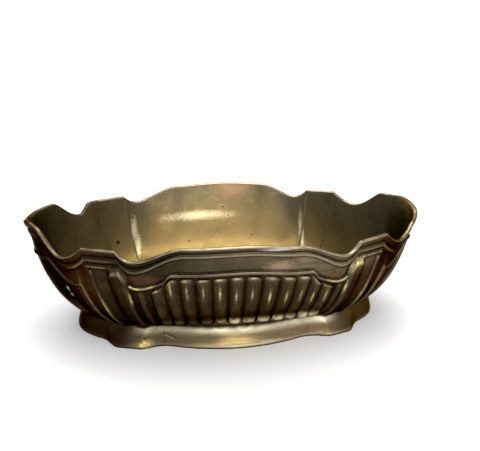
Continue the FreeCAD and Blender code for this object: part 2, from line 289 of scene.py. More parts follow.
def waviness(x, y, z):
    """Slow unevenness of hand-worked sheet, in mm, the same for pieces that share an edge."""
    wave = 0.10 * np.sin(x / 13.0 + 1.3 * np.sin(z / 17.0)) * np.cos(y / 15.0 + z / 21.0)
    wave += 0.06 * np.sin(x / 6.1 + y / 7.3 + 2.0) * np.sin(z / 8.7 + x / 11.0)
    return wave + 0.05 * np.sin((x - y) / 4.3 + z / 5.1)


# ---- relief -------------------------------------------------------------------------
def bead(x, moulding):
    """Half-round moulding between two places, zero outside them."""
    start, end, height = moulding
    a = np.clip((2 * x - start - end) / (end - start), -1, 1)
    return height * np.sqrt(1 - a * a)


def cove(q, top, width, depth):
    return -depth * np.sin(math.pi * np.clip((q - top) / width, 0, 1))


def rim_mouldings(q, spread=MOULDING_SPREAD):
    q = q / spread
    return bead(q, LIP) + bead(q, SECOND_BEAD)


def ledge_drop(t):
    """How far the ledge strays from its course along the rim: it runs on level, then steps down."""
    t = np.abs(t)
    level = np.minimum(rim_long(t) - RIM_LONG[1][1], 0.0)
    start, end, fall = LEDGE_STEP
    return mix(level, fall, smooth((t - start) / (end - start)))


def reed_place(t):
    """Number of the reed at t, and the place across it from -1 to 1."""
    centres = np.array(REED_CENTRES)
    edges = np.concatenate([REED_EDGES[:1], (centres[1:] + centres[:-1]) / 2, REED_EDGES[1:]])
    index = np.clip(np.searchsorted(edges, t) - 1, 0, len(centres) - 1)
    side = np.where(t < centres[index], edges[index], edges[index + 1])
    return index, (t - centres[index]) / np.abs(side - centres[index])


def reeds(t, below, z):
    """Twelve upright reeds with rounded ends, a little uneven as if chased by hand."""
    index, a = reed_place(t)
    crown = np.clip(1 - np.abs(a / 0.99) ** 2.6, 0, 1) ** 0.5
    late = 0.3 * np.sin(index * 2.4) + 2.0 * (1 - crown)
    top = smooth((below + 0.1 - late) / REED_EASE)
    bottom = smooth((z - REED_FOOT - 1.2 * (1 - crown) - 0.4 * np.sin(index * 1.7)) / REED_EASE)
    height = REED_HEIGHT * (1 + 0.07 * np.sin(index * 3.1))
    lumpy = 1 + 0.5 * smooth((t + 0.15) / 0.1)      # the bulbs are larger right of the middle
    bulb = REED_BULB[2] * lumpy * (1 + 0.3 * np.sin(index * 2.7)) * hump(z, *REED_BULB[:2])
    return (height + bulb) * crown * np.sqrt(top * bottom)


def gadroon(across, q, z, top):
    """Swelling over the corner; across is 0 at the corner and 1 at the swelling's edge."""
    a = np.clip(across, 0, 1)
    cap = smooth((q - top) / 8.0) ** 0.85 * smooth(z / 2.0)
    return cap * GADROON[2] * np.sqrt(1 - a * a)


def relief_long(t, q, z):
    """Relief of a long side at place t, q mm below the rim and z mm above the waist."""
    spread = mix(1.0, MOULDING_SPREAD, smooth((np.abs(t) - 0.55) / 0.4))
    across = (1.0 - np.abs(t)) / GADROON[0]
    swelling = gadroon(across, q, z, GADROON_TOP + 5.0 * np.clip(across, 0, 1) ** 2)
    drop = ledge_drop(t)
    below = q - drop - LEDGE[1]
    ribs = sum(bead(t, rib) for rib in RIBS) * smooth((below - 0.5) / 2.0) * smooth(z / 2.0)
    hollow = cove(q, COVE[0], COVE[1] + drop, COVE[2]) * smooth((1.0 - np.abs(t)) / 0.02)
    ledge = bead(q - drop, LEDGE) * smooth((0.99 - np.abs(t)) / 0.03)
    return rim_mouldings(q, spread) + np.maximum(hollow + ledge + reeds(t, below, z) + ribs, swelling)


def relief_pilaster(t, q, z):
    edge = smooth((1.0 - t) / 0.04)
    below = q - THIRD_BEAD[1] * MOULDING_SPREAD
    foot = smooth(z / 2.0)
    lines = (bead(t, GADROON_LINE) + bead(t, PILASTER_RIDGE)) * smooth((below - 0.3) / 1.4) * foot
    third = bead(q / MOULDING_SPREAD, THIRD_BEAD) * smooth((t - 0.1) / 0.15) * edge
    top = GADROON_TOP + 8.0 * np.clip(t / GADROON[1], 0, 1) ** 3
    return rim_mouldings(q) + np.maximum(third + lines * edge, gadroon(t / GADROON[1], q, z, top))


def relief_end(t, q, z):
    s = 1.0 - np.abs(t)
    even = rim_end(t) - WAIST_Z - z     # below the rim's common course, which the ledge keeps to
    within = smooth((s - END_BORDER[0] - 0.01) / 0.02)
    fade = 1.0 - 0.75 * smooth((s - 0.05) / 0.2)
    low = smooth((even - END_LEDGE[0]) / 2.0) * smooth(z / 3.0)
    border = (bead(s, END_BORDER) + bead(s, END_BORDER_LINE)) * low
    hollow = cove(q, *END_COVE) * smooth(s / 0.06)
    spread = q / MOULDING_SPREAD
    return bead(spread, LIP) + bead(spread, SECOND_BEAD) * fade + hollow + bead(even, END_LEDGE) * within + border


def cap_glint(across, q):
    """Painted highlight on the top of the gadroon."""
    return hump(q, GADROON_TOP + 5.4, 2.4) * smooth((1.0 - across) / 0.5)


def long_side_glints(t, q, z):
    """Painted highlights and reflections on a long side, from 0 to 1."""
    index, a = reed_place(t)
    drop = ledge_drop(t)
    middle = 35.0 - 10.0 * t + 1.2 * np.sin(index * 2.3)
    # painted highlight streaks halfway up the reeds
    streak = hump(a, -0.10, 0.10) * hump(z, middle, 4.2) * (np.abs(a) < 1) * smooth((t + 0.75) / 0.2)
    streak *= 0.75 + 0.25 * np.sin(index * 1.9)
    # painted highlights on the reeds' rounded tops
    reed_top = 0.35 * hump(a, -0.15, 0.4) * hump(q - drop, LEDGE[1] + 1.8, 0.8)
    # pale painted reflection of the foot's shoulder on the reeds' bulbs
    bulb = 0.95 * hump(z, 7.8 + 0.6 * np.sin(index * 2.7), 2.9) * (np.abs(a) < 0.9)
    bulb *= smooth((t + 0.3) / 0.15)
    across = (1.0 - np.abs(t)) / GADROON[0]
    # painted glint down the gadroon's edge, and the painted highlight on its cap
    swelling = 0.8 * hump(across, 0.8, 0.10) * hump(z, 32.0, 4.0)
    swelling += mix(*CAP_GLINT, smooth(t)) * cap_glint(across, q)
    # painted glints along the ledge beside the reeds
    ledge = 0.55 * hump(q - drop, LEDGE[0] + 0.9, 0.6) * smooth((np.abs(t) - 0.70) / 0.05)
    ledge = np.where(across < 1.0, 0.0, ledge)
    return np.clip(streak + reed_top + bulb + swelling + ledge, 0, 1)


def pilaster_glints(cap_glint_amount):
    """Painted highlights on the ridge and the cap of a pilaster."""
    def painted_glints(t, q, z):
        return 0.4 * hump(t, 0.87, 0.03) * hump(z, 20.0, 9.0) + cap_glint_amount * cap_glint(t / GADROON[1], q)
    return painted_glints


# Painted highlight along the end's border ridge.
def end_glints(t, q, z):
    return 0.2 * hump(1.0 - np.abs(t), 0.09, 0.012) * hump(z, 25.0, 14.0)


# ---- meshes -------------------------------------------------------------------------
def spread_by(stops):
    """Places along a row: (start, end, count) stretches, joined without repeats."""
    runs = [np.linspace(a, b, n, endpoint=False) for a, b, n in stops]
    return np.append(np.concatenate(runs), stops[-1][1])


def blurred(grid, radius):
    """Box blur of a 2-D array along both axes, three passes, edges held."""
    for _ in range(3):
        for axis in (0, 1):
            pad = [(0, 0), (0, 0)]
            pad[axis] = (radius + 1, radius)
            total = np.cumsum(np.pad(grid, pad, mode="edge"), axis=axis)
            ahead = np.take(total, range(2 * radius + 1, total.shape[axis]), axis=axis)
            behind = np.take(total, range(0, total.shape[axis] - 2 * radius - 1), axis=axis)
            grid = (ahead - behind) / (2 * radius + 1)
    return grid


def mesh_from(name, points, faces, flags, flip=(1, 1)):
    """Mesh object from points in mm and faces, mirrored by flip, with point attributes."""
    points = points * np.array([flip[0], flip[1], 1.0]) * MM
    if flip[0] * flip[1] < 0:
        faces = [f[:, ::-1] for f in faces]
    mesh = bpy.data.meshes.new(name)
    mesh.vertices.add(len(points))
    mesh.vertices.foreach_set("co", points.astype(np.float32).ravel())
    loops = np.concatenate([f.ravel() for f in faces]).astype(np.int32)
    sizes = np.concatenate([np.full(len(f), f.shape[1], np.int32) for f in faces])
    mesh.loops.add(len(loops))
    mesh.loops.foreach_set("vertex_index", loops)
    mesh.polygons.add(len(sizes))
    mesh.polygons.foreach_set("loop_start", np.concatenate([[0], np.cumsum(sizes)[:-1]]).astype(np.int32))
    mesh.polygons.foreach_set("loop_total", sizes)
    mesh.polygons.foreach_set("use_smooth", sizes == 4)
    mesh.update(calc_edges=True)
    for key, values in flags.items():
        mesh.attributes.new(key, "FLOAT", "POINT").data.foreach_set("value", values.astype(np.float32))
    mesh.validate()
    piece = bpy.data.objects.new(name, mesh)
    bpy.context.scene.collection.objects.link(piece)
    return piece


def quads(rows, columns, wrap=False):
    """Faces of a grid of points numbered column by column, its rows closed if wrap."""
    i = np.arange(columns - 1)[:, None]
    j = np.arange(rows if wrap else rows - 1)[None, :]
    up = (j + 1) % rows
    a, b = i * rows + j, (i + 1) * rows + j
    c, d = (i + 1) * rows + up, i * rows + up
    return np.stack(np.broadcast_arrays(a, b, c, d), -1).reshape(-1, 4)


def zipped(first, second):
    """Triangles that join two chains of point numbers of different lengths."""
    faces = []
    i = j = 0
    while i < len(first) - 1 or j < len(second) - 1:
        if j == len(second) - 1 or (i < len(first) - 1 and (i + 1) * len(second) <= (j + 1) * len(first)):
            faces.append((first[i], first[i + 1], second[j]))
            i += 1
        else:
            faces.append((first[i], second[j + 1], second[j]))
            j += 1
    return np.array(faces)


def closed_piece(name, points, outer_rows, flags, flip=(1, 1)):
    """Closed piece from columns of points that run up its outside and back down its inside."""
    count, rows = points.shape[:2]
    cap = zipped(np.arange(outer_rows), np.arange(rows - 1, outer_rows - 1, -1))
    faces = [quads(rows, count, wrap=True)[:, ::-1], cap[:, ::-1], cap + (count - 1) * rows]
    flags = {key: np.broadcast_to(values, points.shape[:2]).ravel() for key, values in flags.items()}
    return mesh_from(name, points.reshape(-1, 3), faces, flags, flip)


# Rows of points up a wall: the lower field, the mouldings, round the lip, and down its inside.
FIELD_ROWS = 76
FRIEZE_ROWS = 92
ROLL_ROWS = 9
INNER_ROWS = 46


def wall_piece(name, place, rim, relief, painted_glints, columns, flip):
    """Closed wall section: relief outside, a rolled lip, and a smooth inside."""
    t = columns[:, None]
    height = rim(t) - WAIST_Z
    frieze = np.linspace(FRIEZE, LIP_RISE, FRIEZE_ROWS)[None, :]
    share = np.linspace(0, 1, FIELD_ROWS, endpoint=False)[None, :]
    q = np.concatenate([mix(height, FRIEZE, share), np.repeat(frieze, len(columns), 0)], 1)
    z = height - q
    t_out = np.broadcast_to(t, q.shape)
    lift = relief(t_out, q, z)

    turn = np.linspace(0, math.pi, ROLL_ROWS + 2)[None, 1:-1]
    top = lift[:, -1:]
    roll_out = mix(-WALL, top, (1 + np.cos(turn)) / 2)
    roll_q = LIP_RISE * (1 - np.sin(turn)) + 0 * t

    inner_q = mix(LIP_RISE, height, np.linspace(0, 1, INNER_ROWS)[None, :])
    q_all = np.concatenate([q, roll_q, inner_q], 1)
    out = np.concatenate([lift, roll_out, np.full(inner_q.shape, -WALL)], 1)
    z_all = height - q_all
    reach = reach_at(z_all / height)
    t_all = np.broadcast_to(t, q_all.shape)
    x, y = place(outline(reach, out), t_all)
    x, y = place(outline(reach, out + waviness(x, y, z_all)), t_all)
    points = np.stack([x, y, WAIST_Z + z_all], -1)

    rise = lift - blurred(lift, 6)
    pad = q_all.shape[1] - q.shape[1]
    # Crests are lightened in the colour, partly as rubbed metal and partly as painted highlight; the lip's roll
    # gets the full painted highlight.
    crest = np.pad(np.clip((rise - 0.1) / 0.45, 0, 1), ((0, 0), (0, pad)))
    crest[:, q.shape[1] - 1:q.shape[1] + ROLL_ROWS] = 1.0
    recess = np.pad(np.clip(-rise / 0.55, 0, 1), ((0, 0), (0, pad)))
    inside = np.zeros_like(q_all)
    inside[:, -INNER_ROWS:] = 1.0
    depth = np.clip(q_all / height, 0, 1)

    # Painted highlights and reflections, from the given glint function.
    painted_highlight = np.pad(painted_glints(t_out, q, z), ((0, 0), (0, pad)))
    flags = {"crest": crest, "recess": recess, "inside": inside, "depth": depth, "painted_highlight": painted_highlight}
    return closed_piece(name, points, q_all.shape[1] - INNER_ROWS, flags, flip)


def half_and_half(half):
    """Places from -1 to 1, mirrored about 0, from places that run from 0 to 1."""
    return np.concatenate([-half[::-1], half[1:]])


# Each corner's mirroring from the back right one, and the rims of its long side and pilaster.
CORNERS = {"back_right": (1, 1), "back_left": (-1, 1), "front_right": (1, -1), "front_left": (-1, -1)}
CORNER_RIMS = {corner: (rim_front if "front" in corner else rim_back, rim_pilaster) for corner in CORNERS}
CORNER_RIMS["front_right"] = (rim_front, rim_front_right_pilaster)


def wall_pieces():
    long_columns = half_and_half(spread_by([(0, 0.93, 148), (0.93, 1.0, 22)]))
    end_columns = half_and_half(spread_by([(0, 0.5, 30), (0.5, 0.85, 36), (0.85, 0.96, 40), (0.96, 1.0, 8)]))
    facet_columns = spread_by([(0, 0.48, 48), (0.48, 0.76, 10), (0.76, 0.96, 24), (0.96, 1.0, 4)])
    made = {
        "back_panel": (on_long_side, rim_back, relief_long, long_side_glints, long_columns, (1, 1)),
        "front_panel": (on_long_side, rim_front, relief_long, long_side_glints, long_columns, (1, -1)),
        "right_end_panel": (on_bent_end(RIGHT_END_BEND), rim_right_end, relief_end, end_glints,
                            end_columns[::-1], (1, 1)),
        "left_end_panel": (on_bent_end(LEFT_END_BEND), rim_left_end, relief_end, end_glints,
                           end_columns[::-1], (-1, 1)),
    }
    for corner, flip in CORNERS.items():
        painted_glints = pilaster_glints(CAP_GLINT[1] if flip[0] > 0 else CAP_GLINT[0])
        made[corner + "_pilaster"] = (on_pilaster, CORNER_RIMS[corner][1], relief_pilaster,
                                      painted_glints, facet_columns, flip)
    return {node: wall_piece("skin_" + node, *spec) for node, spec in made.items()}


# ---- foot ---------------------------------------------------------------------------
# Skirt profiles from the plate down: (share of the flare, height). Along the rails it has a
# small bead and a groove over a convex shoulder; round the corners and ends it is a plain sweep.
RAIL_PROFILE = [(0.0, 17.2), (0.10, 17.2), (0.17, 17.0), (0.19, 16.6), (0.16, 16.2), (0.14, 15.9),
                (0.18, 15.8), (0.24, 15.4), (0.33, 14.3), (0.43, 12.8), (0.53, 11.2), (0.60, 9.7),
                (0.65, 8.2), (0.70, 6.6), (0.76, 5.2), (0.83, 4.0), (0.91, 3.0), (1.0, 2.0),
                (1.01, 1.1), (1.0, 0.3), (0.98, 0.0)]
SWEEP_PROFILE = [(0.0, 16.4), (0.04, 15.0), (0.12, 13.3), (0.24, 11.7), (0.38, 10.0), (0.54, 8.0),
                 (0.70, 6.1), (0.81, 4.5), (0.90, 3.2), (0.97, 2.3), (1.0, 1.7), (1.01, 1.0), (1.0, 0.3),
                 (0.98, 0.0)]
FOOT_ROWS = 60
FOOT_INNER_ROWS = 12


def chaikin(points, times):
    """Polyline with its corners cut, which tends to a smooth curve."""
    for _ in range(times):
        a, b = points[:-1], points[1:]
        middle = np.stack([0.75 * a + 0.25 * b, 0.25 * a + 0.75 * b], 1).reshape(-1, 2)
        points = np.concatenate([points[:1], middle, points[-1:]])
    return points


def foot_profile(knots):
    """Rows spaced evenly down a profile, as columns of shares and heights."""
    points = chaikin(np.array(knots) * (10.0, 1.0), 3)
    run = np.append(0, np.cumsum(np.hypot(*np.diff(points, axis=0).T)))
    place = np.linspace(0, run[-1], FOOT_ROWS)
    return np.interp(place, run, points[:, 0]) / 10.0, np.interp(place, run, points[:, 1])


def eased(line, index, reach, passes):
    """Line with its corner at index rounded off over the reach, in mm."""
    share = smooth(1 - np.hypot(*(line - line[index]).T) / reach)[:, None]
    for _ in range(passes):
        middle = line.copy()
        middle[1:-1] = (line[:-2] + 2 * line[1:-1] + line[2:]) / 4
        line = mix(line, middle, share)
    return line


def foot_quarter():
    """Edge and waist lines of a quarter of the foot, the sweep's share and the two joints."""
    plan = outline(np.array(0.0), np.array(0.0))
    limit = 1.0 - END_NOTCH_ON_WAIST
    x, y = FOOT_END_NOTCH
    tip = [(x, y), (x + 12.0, y - 8.0), (FOOT_TIP, FOOT_TIP_PULL), (FOOT_TIP, 0.0)]
    share = {n: np.linspace(0, 1, n, endpoint=False) for n in (100, 34, 40, 91)}

    def straight(a, b, n):
        return mix(np.array(a), np.array(b), share[n][:, None])

    edge = [np.stack(on_long_side({"mid": FOOT_MID, "corner": FOOT_NOTCH}, share[100]), 1),
            straight(FOOT_NOTCH, FOOT_CORNER, 34), straight(FOOT_CORNER, FOOT_SHOULDER, 40),
            straight(FOOT_SHOULDER, FOOT_END_NOTCH, 34), np.stack(bezier(tip, np.linspace(0, 1, 91)), 1)]
    waist = [on_long_side(plan, NOTCH_ON_WAIST * share[100]),
             on_long_side(plan, mix(NOTCH_ON_WAIST, 1.0, share[34])), on_pilaster(plan, share[40]),
             on_end(plan, mix(1.0, limit, share[34])), on_end(plan, np.linspace(limit, 0, 91))]
    edge = np.concatenate(edge)
    waist = np.concatenate([np.stack(w, 1) for w in waist])
    for index, reach, passes in ((100, 15.0, 260), (134, 3.0, 8), (174, 5.0, 40), (208, 8.0, 50)):
        edge = eased(edge, index, reach, passes)
    for index in (134, 174):
        waist = eased(waist, index, 9.0, 160)
    place = np.arange(len(edge))
    sweep = smooth((place - 128.0) / 44.0)
    return edge, waist, sweep, (100, 208)


def crease(x, y, z, start=(-55.7, -55.2, 10.2), end=(-48.2, -57.3, 6.4)):
    """Short slanting dent in the front rail's skirt, 1 along its line and 0 away from it."""
    point = np.stack([x, y, z], -1) - np.array(start)
    line = np.array(end) - np.array(start)
    share = np.clip((point @ line) / (line @ line), 0, 1)
    return hump(np.linalg.norm(point - share[..., None] * line, axis=-1), 0.0, 0.8)


def foot_piece(name, edge, waist, sweep, flip):
    """Stretch of the skirt: profile outside, upright edge, plain inside."""
    rail, plain_sweep = foot_profile(RAIL_PROFILE), foot_profile(SWEEP_PROFILE)
    sweep = sweep[:, None]
    share = mix(rail[0][None, :], plain_sweep[0][None, :], sweep)[:, ::-1]
    z = mix(rail[1][None, :], plain_sweep[1][None, :], sweep)[:, ::-1]
    picked = np.linspace(FOOT_ROWS - 1, 0, FOOT_INNER_ROWS).astype(int)
    share = np.concatenate([share, share[:, picked]], 1)
    z = np.concatenate([z, np.minimum(z[:, picked], FOOT_TOP_Z)], 1)
    offset = np.zeros_like(z)
    offset[:, FOOT_ROWS:] = -FOOT_WALL
    gap = np.minimum(np.arange(len(edge)), np.arange(len(edge))[::-1])[:, None]
    offset[:, :FOOT_ROWS] -= 0.015 * np.exp(-(gap / 0.8) ** 2)
    reach = np.hypot(*(edge - waist).T)[:, None]
    nx, ny = (edge[:, :1] - waist[:, :1]) / reach, (edge[:, 1:] - waist[:, 1:]) / reach
    x = mix(waist[:, :1], edge[:, :1], share) + nx * offset
    y = mix(waist[:, 1:], edge[:, 1:], share) + ny * offset
    wave = 1.3 * waviness(x * flip[0], y * flip[1], z) * smooth((WAIST_Z - z) / 4.0)
    wave -= 0.6 * crease(x * flip[0], y * flip[1], z)
    z = z + 0.5 * wave * smooth(z / 4.0)
    points = np.stack([x + nx * wave, y + ny * wave, z], -1)

    groove = hump(z, 15.95, 0.3) * (share < 0.21) * (1 - sweep)
    recess = np.maximum(groove, 0.3 * smooth((z - 12.4) / 2.0) * sweep)
    # Painted highlights: a line along the bottom edge, a band down the rails' shoulder and a line on the top
    # bead.
    crest = 0.5 * hump(z, 1.8, 0.7) + hump(z, 13.2, 2.6) * (z < 15.8) * (1 - sweep)
    crest += 0.5 * hump(z, 17.0, 0.4) * (1 - sweep)
    inside = np.zeros_like(z)
    inside[:, FOOT_ROWS:] = 1.0
    flags = {"crest": crest, "recess": recess, "inside": inside, "sweep": sweep}
    return closed_piece(name, points, FOOT_ROWS, flags, flip)


def foot_pieces():
    edge, waist, sweep, (notch, end_notch) = foot_quarter()
    x_mirror, y_mirror = np.array([-1, 1]), np.array([1, -1])

    def doubled(line, mirror):
        return np.concatenate([(line * mirror)[::-1], line[1:]])

    rail = [doubled(v[:notch + 1], m) for v, m in ((edge, x_mirror), (waist, x_mirror), (sweep, 1))]
    end = [doubled(v[end_notch:][::-1], m)[::-1] for v, m in ((edge, y_mirror), (waist, y_mirror), (sweep, 1))]
    corner = [v[notch:end_notch + 1] for v in (edge, waist, sweep)]
    made = {"foot_back_rail": (rail, (1, 1)), "foot_front_rail": (rail, (1, -1)),
            "foot_right_end": (end, (1, 1)), "foot_left_end": (end, (-1, 1))}
    for name, flip in CORNERS.items():
        made[name + "_foot_corner"] = (corner, flip)
    return {node: foot_piece("skin_" + node, *lines, flip) for node, (lines, flip) in made.items()}


# ---- floor plate and seams ----------------------------------------------------------
def floor_piece():
    """Plate with its middle pressed up, slightly uneven."""
    def ring(inset):
        plan = outline(np.array(0.0), np.array(-inset))
        half = np.stack(on_long_side(plan, np.linspace(-1, 1, 90, endpoint=False)), 1)
        cut = np.stack(on_pilaster(plan, np.linspace(0, 1, 16, endpoint=False)), 1)
        end = np.stack(on_end(plan, np.linspace(1, -1, 100, endpoint=False)), 1)
        back = np.concatenate([half, cut, end, cut[:0:-1] * (1, -1)])   # ends short of the next corner
        return np.concatenate([back, -back])

    edge = ring(PLATE_INSET)
    rise = smooth(np.linspace(0, 1, 8))
    low = [(edge * f, FOOT_TOP_Z) for f in np.linspace(0.02, 1, 26)]
    side = [(ring(PLATE_INSET - 0.15 * math.sin(math.pi * f)), mix(FOOT_TOP_Z, WAIST_Z, f))
            for f in np.linspace(0.1, 1, 6)]
    step = [(ring(mix(RISE_INSET - 1.0, RISE_INSET + 0.6, r)), WAIST_Z + PLATE_RISE * r) for r in rise]
    top = [(ring(RISE_INSET + 0.6) * f, WAIST_Z + PLATE_RISE) for f in np.linspace(0.985, 0.02, 40)]
    rings = low + side + step + top
    points = np.stack([np.column_stack([r, np.full(len(r), z)]) for r, z in rings])
    sag = 0.16 * np.sin(points[..., 0] / 19.0 + 0.7) * np.cos(points[..., 1] / 14.0)
    sag += 0.05 * np.sin(points[..., 0] / 5.1) * np.sin(points[..., 1] / 4.3 + 1.0)
    points[..., 2] += sag * np.array([0.0] * (len(low) + len(side)) + [1.0] * (len(step) + len(top)))[:, None]
    count = len(edge)
    last = (len(rings) - 1) * count
    faces = [quads(count, len(rings), wrap=True), np.arange(count)[None, :], last + np.arange(count)[None, ::-1]]
    recess = np.zeros(len(rings))
    recess[len(low):len(low) + len(side) + 3] = 0.8
    inside = np.array([0.6] * len(low) + [0.0] * len(side) + [1.0] * (len(step) + len(top)))
    flags = {"recess": np.repeat(recess, count), "inside": np.repeat(inside, count),
             "depth": np.ones(len(rings) * count)}
    return mesh_from("skin_floor_plate", points.reshape(-1, 3), faces, flags)


SEAM_TOP = 4.0
SEAM_ROWS = 130


def seam_piece(name, first, second, flip, seed):
    """Low uneven bead of brazing metal in the crease between two wall sections.

    Each section is (place, rim, t at the crease, t at the bead's edge)."""
    rows = np.linspace(0, 1, SEAM_ROWS)
    lumps = 0.5 + 0.5 * np.sin(rows * 61 + seed) * np.sin(rows * 23 + 2.0 * seed) * np.sin(rows * 131 + seed)

    def column(section, share, lift):
        place, rim, crease, edge = section
        t = np.full(SEAM_ROWS, mix(crease, edge, share))
        height = rim(t) - WAIST_Z
        z = (height - SEAM_TOP) * rows
        x, y = place(outline(reach_at(z / height), -WALL - lift), t)
        return np.stack([x, y, WAIST_Z + z], -1)

    bead_rows = [(first, 0.8, 0.02), (first, 0.5, 0.16), (first, 0.2, 0.30), (second, 0.0, 0.36),
                 (second, 0.2, 0.30), (second, 0.5, 0.16), (second, 0.8, 0.02)]
    room = [column(s, share, lift * (0.25 + 0.5 * lumps)) for s, share, lift in bead_rows]
    wall = [column(second, 0.8, -0.4), column(second, 0.0, -0.4), column(first, 0.8, -0.4)]
    points = np.stack(room + wall, 1)
    flags = {"crest": 0.3 * lumps[:, None], "recess": 0.0, "inside": 1.0, "depth": (1 - rows)[:, None]}
    return closed_piece(name, points, len(room), flags, flip)


def seam_pieces():
    made = {}
    for seed, (corner, flip) in enumerate(CORNERS.items()):
        long_rim, facet_rim = CORNER_RIMS[corner]
        side = ((on_long_side, long_rim, 1.0, 0.985), (on_pilaster, facet_rim, 0.0, 0.05))
        end = ((on_pilaster, facet_rim, 1.0, 0.95), (on_end, rim_end, 1.0, 0.988))
        for k, (kind, sections) in enumerate((("side", side), ("end", end))):
            node = f"{corner}_{kind}_seam"
            made[node] = seam_piece("skin_" + node, *sections, flip, 1.7 * seed + 4.1 * k)
    return made


# ---- materials ----------------------------------------------------------------------
class Graph:
    """Small helper that adds nodes to a material and links them."""

    def __init__(self, name):
        self.material = bpy.data.materials.new(name)
        self.material.use_nodes = True
        self.tree = self.material.node_tree
        self.tree.nodes.clear()

    def add(self, kind, inputs=(), **settings):
        node = self.tree.nodes.new("ShaderNode" + kind)
        for key, value in settings.items():
            setattr(node, key, value)
        for key, value in dict(inputs).items():
            if isinstance(value, bpy.types.NodeSocket):
                self.tree.links.new(value, node.inputs[key])
            else:
                node.inputs[key].default_value = value
        return node

    def noise(self, place, scale, detail=4.0, rough=0.5, warp=0.0):
        inputs = {"Vector": place, "Scale": scale, "Detail": detail, "Roughness": rough, "Distortion": warp}
        return self.add("TexNoise", inputs).outputs["Fac"]

    def remap(self, value, low, high, new_low=0.0, new_high=1.0):
        inputs = {"Value": value, "From Min": low, "From Max": high, "To Min": new_low, "To Max": new_high}
        return self.add("MapRange", inputs).outputs["Result"]

    def math(self, operation, a, b=0.5, clamp=False):
        return self.add("Math", {0: a, 1: b}, operation=operation, use_clamp=clamp).outputs[0]

    def vector(self, operation, *inputs):
        node = self.add("VectorMath", dict(enumerate(inputs)), operation=operation)
        return node.outputs["Value" if operation in ("DISTANCE", "LENGTH") else "Vector"]

    def product(self, first, *others):
        for other in others:
            first = self.math("MULTIPLY", first, other, True)
        return first

    def blend(self, factor, a, b):
        return self.add("Mix", {0: factor, 6: a, 7: b}, data_type="RGBA").outputs[2]

    def attribute(self, name):
        return self.add("Attribute", attribute_name=name).outputs["Fac"]

    def shade(self, base, rough, height, edge_tint):
        """Metal with a fine bump; edge_tint is its colour at a glancing angle."""
        bump = self.add("Bump", {"Height": height, "Strength": 0.3, "Distance": 0.0008})
        shader = self.add("BsdfPrincipled", {
            "Base Color": base, "Metallic": 1.0, "Roughness": rough, "Specular Tint": edge_tint,
            "Normal": bump.outputs["Normal"]})
        self.add("OutputMaterial", {"Surface": shader.outputs[0]})
        return self.material


def rgb(*values):
    return (*values, 1.0)


def along(g, place, scale):
    """Coordinates stretched by a scale on each axis, for streaks and brush lines."""
    return g.add("Mapping", {"Vector": place, "Scale": scale}).outputs[0]


def pits(g, place, base, spots):
    """Dark round pits: (x, y, z, radius) in metres. Returns the colour and the pits' depth."""
    total = 0.0
    for x, y, z, radius in spots:
        gap = g.vector("DISTANCE", place, (x, y, z))
        total = g.math("MAXIMUM", g.remap(gap, radius, 0.6 * radius), total)
    return g.blend(g.product(total, 0.85), base, rgb(0.02, 0.013, 0.006)), total


def stains_and_painted_light(g, place, base, stains):
    """Soft-edged stains and painted highlights and reflections, each with a centre, a reach on each axis, a
    colour and an amount.
    """
    for centre, reach, tint, amount in stains:
        gap = g.vector("LENGTH", g.vector("DIVIDE", g.vector("SUBTRACT", place, centre), reach))
        ragged = g.math("ADD", gap, g.math("MULTIPLY", g.noise(place, 480.0, 5.0, 0.75), 1.8))
        base = g.blend(g.product(g.remap(ragged, 2.1, 1.2), amount), base, tint)
    return base


def tarnish_clouds(g, place):
    cloud = g.noise(place, 22.0, 5.0, 0.6, 0.6)
    blotch = g.noise(place, 70.0, 5.0, 0.65, 0.3)
    both = g.math("ADD", g.math("MULTIPLY", cloud, 0.6), g.math("MULTIPLY", blotch, 0.4))
    return g.remap(both, 0.38, 0.62), blotch


def hammered(g, place, fine=0.12):
    """Height of slow dents and fine grain."""
    dents = g.math("MULTIPLY", g.noise(place, 60.0, 3.0), 0.8)
    return g.math("ADD", dents, g.math("MULTIPLY", g.noise(place, 420.0, 3.0, 0.6), fine))


# Stains and pits, in metres. A stain is (centre, reach on each axis, colour, amount), and a pit
# is (x, y, z, radius); painted highlights and reflections take the same shape. Outside the walls: a pale painted
# highlight on the lip, a copper stain on the frieze, brown ones in the two dips, two cyan painted glints and a
# grey painted reflection on the left end.
LIP_HIGHLIGHT, CYAN_GLINT, REFLECTION_CREAM = rgb(0.62, 0.64, 0.62), rgb(0.42, 0.62, 0.58), rgb(0.85, 0.72, 0.45)
WALL_STAINS_AND_GLINTS = [((0.0215, -0.0970, 0.0868), (0.013, 0.02, 0.0014), LIP_HIGHLIGHT, 0.7),
               ((0.0255, -0.0905, 0.0723), (0.012, 0.02, 0.0050), rgb(0.42, 0.275, 0.18), 0.6),
               ((-0.0669, -0.0808, 0.0633), (0.013, 0.02, 0.0060), rgb(0.085, 0.045, 0.020), 0.7),
               ((0.0668, -0.0797, 0.0582), (0.013, 0.02, 0.0060), rgb(0.100, 0.062, 0.035), 0.7),
               ((-0.1248, -0.0423, 0.0461), (0.0020, 0.003, 0.0030), CYAN_GLINT, 0.9),
               ((-0.1223, -0.0419, 0.0410), (0.0018, 0.003, 0.0020), CYAN_GLINT, 0.9),
               ((-0.1205, -0.0361, 0.0301), (0.0080, 0.009, 0.0060), rgb(0.17, 0.17, 0.15), 0.5)]
